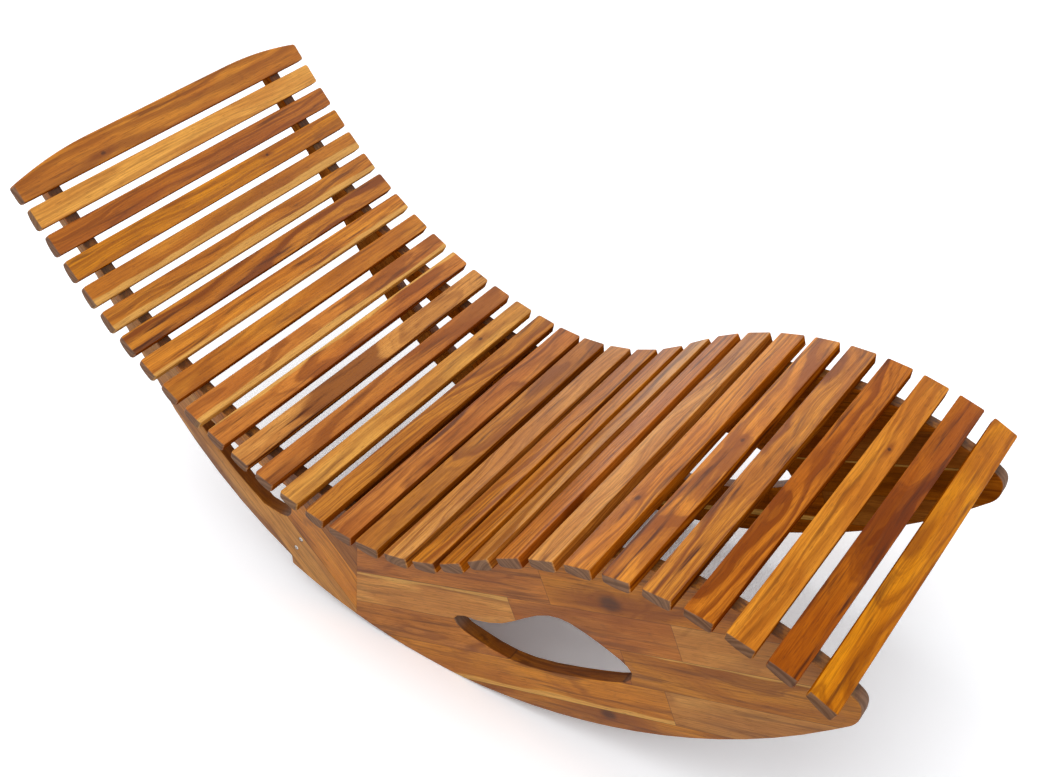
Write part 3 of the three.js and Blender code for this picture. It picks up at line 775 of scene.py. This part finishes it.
low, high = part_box("stretcher")
stretcher_middle = (low + high) / 2
stretcher_length = high.y - low.y
stretcher_up = Vector((math.sin(stretcher_lean), 0, math.cos(stretcher_lean)))
stretcher_face = Vector((math.cos(stretcher_lean), 0, -math.sin(stretcher_lean)))
bpy.ops.object.select_all(action="DESELECT")
bpy.ops.mesh.primitive_cube_add(size=1, location=(0, 0, 0))
stretcher = bpy.context.object
stretcher.name = stretcher.data.name = "stretcher_wood"
stretcher.scale = (stretcher_depth, stretcher_length, stretcher_thickness)
bpy.ops.object.transform_apply(location=False, rotation=False, scale=True)
bpy.ops.object.mode_set(mode="EDIT")
bpy.ops.mesh.select_mode(type="EDGE")
select_edges(stretcher, lambda e: abs(e.verts[0].co.y - e.verts[1].co.y) > stretcher_length / 2)
bpy.ops.mesh.bevel(offset=stretcher_radius, segments=4)
bpy.ops.object.mode_set(mode="OBJECT")
settle(stretcher, (stretcher_up, Vector((0, -1, 0)), stretcher_face), stretcher_middle)
for side_name, side in (("left", 1), ("right", -1)):
    for end_name in ("lower", "upper"):
        nut_low, nut_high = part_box(f"stretcher_nut_{side_name}_{end_name}")
        nut_middle = (nut_low + nut_high) / 2
        back = (nut_middle - stretcher_middle).dot(stretcher_face) + stretcher_thickness / 2 + drill_overrun
        end_start = nut_middle.copy()
        end_start.y = side * (stretcher_length / 2 + drill_overrun)
        pocket_start = nut_middle - stretcher_face * back
        drill(stretcher, [
            (pocket_start, stretcher_face, nut_pocket_radius, nut_pocket_depth + drill_overrun),
            (end_start, Vector((0, -side, 0)), bolt_bore, end_bore_depth + drill_overrun),
        ])
bpy.ops.object.shade_smooth_by_angle(angle=math.radians(35))
stretcher.data.materials.append(hardwood)
# Every face of the stretcher counts as covered and gets painted shade
stretcher_look = {"axes": (stretcher_up, Vector((0, 1, 0)), stretcher_face), "origin": stretcher_middle,
                  "log": sawn_from(stretcher_log), "tone": "reddish", "brightness": 0.9, "figure": 0.7,
                  "covered": lambda normal: True}
mark_grain(stretcher.data, lambda polygon: stretcher_look)
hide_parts("stretcher")
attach(stretcher, "root")

# Bolts and barrel nuts
# Four bright steel bolts, turned with a low round head and a driver socket, join the stretcher to the rear
# boards. Each one screws into a short cross-drilled barrel nut with a slot in its end for turning it.
steel_grey = (0.93, 0.91, 0.89)
steel_shadow = (0.78, 0.76, 0.73)
turned_sides = 32
bolt_head_height = 0.003
bolt_length = 0.0603
bolt_head_radius = 0.0045
bolt_shank_radius = 0.003
bolt_point_radius = 0.0025
# The crown of the head, as radius and height
bolt_head_crown = ((0.0045, -0.0016), (0.0043, -0.0010), (0.0039, -0.0005), (0.0033, -0.0001), (0.0028, 0.0))
socket_radius = 0.0022
socket_depth = 0.002
nut_radius = 0.005
nut_length = 0.018
nut_edge = 0.0005
slot_width = 0.0014
slot_depth = 0.0015

metal = Finish("turned_steel")
metal_place = metal.node("ShaderNodeTexCoord").outputs["Object"]
turning_marks = metal.noise(metal_place, (900.0, 5000.0, 900.0), 3.0, 0.6).outputs["Fac"]
dull_patches = metal.noise(metal_place, (260.0, 260.0, 260.0), 2.0).outputs["Fac"]
dulled = metal.ramp(dull_patches, 0.4, 0.65, 0.0, 0.6)
metal.wire(metal.tint(dulled, linear(steel_grey), linear(steel_shadow)), "Base Color")
metal.wire(metal.ramp(turning_marks, 0.3, 0.7, 0.24, 0.42), "Roughness")
metal.shader.inputs["Metallic"].default_value = 1.0
metal_bump = metal.node("ShaderNodeBump", {"Height": turning_marks, "Strength": 0.2, "Distance": 0.0001})
metal.wire(metal_bump.outputs["Normal"], "Normal")

bpy.ops.object.select_all(action="DESELECT")
bpy.ops.mesh.primitive_circle_add(vertices=turned_sides, radius=bolt_point_radius, fill_type="NGON",
                                  location=(0, 0, -bolt_length))
bolt_pattern = bpy.context.object
bolt_pattern.name = "bolt_pattern"
bpy.ops.object.transform_apply(location=True, rotation=False, scale=False)
bpy.ops.object.mode_set(mode="EDIT")
bpy.ops.mesh.select_all(action="SELECT")
radius = bolt_point_radius
height = -bolt_length
point_height = bolt_shank_radius - bolt_point_radius
shank_and_collar = ((bolt_shank_radius, point_height - bolt_length), (bolt_shank_radius, -bolt_head_height),
                    (bolt_head_radius, -bolt_head_height))
for next_radius, next_height in shank_and_collar + bolt_head_crown:
    bpy.ops.mesh.extrude_region_move(TRANSFORM_OT_translate={"value": (0, 0, next_height - height)})
    bpy.ops.transform.resize(value=(next_radius / radius, next_radius / radius, 1), center_override=(0, 0, 0))
    radius, height = next_radius, next_height
bpy.ops.mesh.select_all(action="SELECT")
bpy.ops.mesh.normals_make_consistent(inside=False)
bpy.ops.object.mode_set(mode="OBJECT")
drill(bolt_pattern, [(Vector((0, 0, drill_overrun)), Vector((0, 0, -1)), socket_radius,
                      socket_depth + drill_overrun)], sides=6)
bpy.ops.object.shade_smooth_by_angle(angle=math.radians(30))

bpy.ops.object.select_all(action="DESELECT")
bpy.ops.mesh.primitive_cylinder_add(vertices=turned_sides, radius=nut_radius, depth=nut_length,
                                    location=(0, 0, 0))
nut_pattern = bpy.context.object
nut_pattern.name = "nut_pattern"
bpy.ops.object.mode_set(mode="EDIT")
bpy.ops.mesh.select_mode(type="EDGE")
select_edges(nut_pattern, lambda e: abs(e.verts[0].co.z - e.verts[1].co.z) < nut_edge)
bpy.ops.mesh.bevel(offset=nut_edge, segments=2)
bpy.ops.object.mode_set(mode="OBJECT")
drill(nut_pattern, [(Vector((0, 2 * nut_radius, 0)), Vector((0, -1, 0)), bolt_bore, 4 * nut_radius)])
bpy.ops.object.select_all(action="DESELECT")
bpy.ops.mesh.primitive_cube_add(size=1, location=(0, 0, -nut_length / 2))
slot_cutter = bpy.context.object
slot_cutter.scale = (slot_width, 3 * nut_radius, 2 * slot_depth)
slot = nut_pattern.modifiers.new("slot", "BOOLEAN")
slot.operation = "DIFFERENCE"
slot.solver = "EXACT"
slot.object = slot_cutter
bpy.context.view_layer.update()
bpy.ops.object.select_all(action="DESELECT")
nut_pattern.select_set(True)
bpy.context.view_layer.objects.active = nut_pattern
bpy.ops.object.modifier_apply(modifier=slot.name)
bpy.data.objects.remove(slot_cutter)
bpy.ops.object.shade_smooth_by_angle(angle=math.radians(30))


def fit_fastener(pattern, node_name, axes, origin):
    fastener = pattern.copy()
    fastener.data = pattern.data.copy()
    fastener.name = fastener.data.name = f"{node_name}_steel"
    bpy.context.collection.objects.link(fastener)
    settle(fastener, axes, origin)
    fastener.data.materials.append(metal.material)
    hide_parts(node_name)
    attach(fastener, "root")


for side_name, side in (("left", 1), ("right", -1)):
    outward = Vector((0, side, 0))
    for end_name in ("lower", "upper"):
        bolt_low, bolt_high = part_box(f"stretcher_bolt_{side_name}_{end_name}")
        bolt_head = (bolt_low + bolt_high) / 2
        bolt_head.y = bolt_high.y if side > 0 else bolt_low.y
        fit_fastener(bolt_pattern, f"stretcher_bolt_{side_name}_{end_name}",
                     (stretcher_up, outward.cross(stretcher_up), outward), bolt_head)
        nut_low, nut_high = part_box(f"stretcher_nut_{side_name}_{end_name}")
        fit_fastener(nut_pattern, f"stretcher_nut_{side_name}_{end_name}",
                     (outward.cross(stretcher_face), outward, stretcher_face), (nut_low + nut_high) / 2)
bpy.data.objects.remove(bolt_pattern)
bpy.data.objects.remove(nut_pattern)

# Seam dowels
# Two plain turned dowels of a tan hardwood are glued across each butt joint between a rear and a front
# board. They keep the shapes of the solids, because the joint hides them.
dowel_light = (0.78, 0.56, 0.33)
dowel_brown = (0.55, 0.35, 0.18)

peg = Finish("dowel_wood")
peg_place = peg.node("ShaderNodeTexCoord").outputs["Object"]
peg_fibres = peg.noise(peg_place, (30.0, 900.0, 900.0), 3.0, 0.65).outputs["Fac"]
peg_rings = peg.noise(peg_place, (6.0, 220.0, 220.0), 2.0).outputs["Fac"]
peg_colour = peg.tint(peg.ramp(peg_rings, 0.4, 0.6), linear(dowel_light), linear(dowel_brown))
peg_colour = peg.tint(peg.ramp(peg_fibres, 0.5, 0.7, 0.0, 0.5), peg_colour, linear(dowel_brown))
peg.wire(peg_colour, "Base Color")
peg.wire(peg.ramp(peg_fibres, 0.3, 0.7, 0.5, 0.7), "Roughness")
peg_bump = peg.node("ShaderNodeBump", {"Height": peg_fibres, "Strength": 0.3, "Distance": 0.0004})
peg.wire(peg_bump.outputs["Normal"], "Normal")
for side_name in ("left", "right"):
    for end_name in ("lower", "upper"):
        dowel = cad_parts[f"seam_dowel_{side_name}_{end_name}"]
        for slot in dowel.material_slots:
            slot.material = peg.material
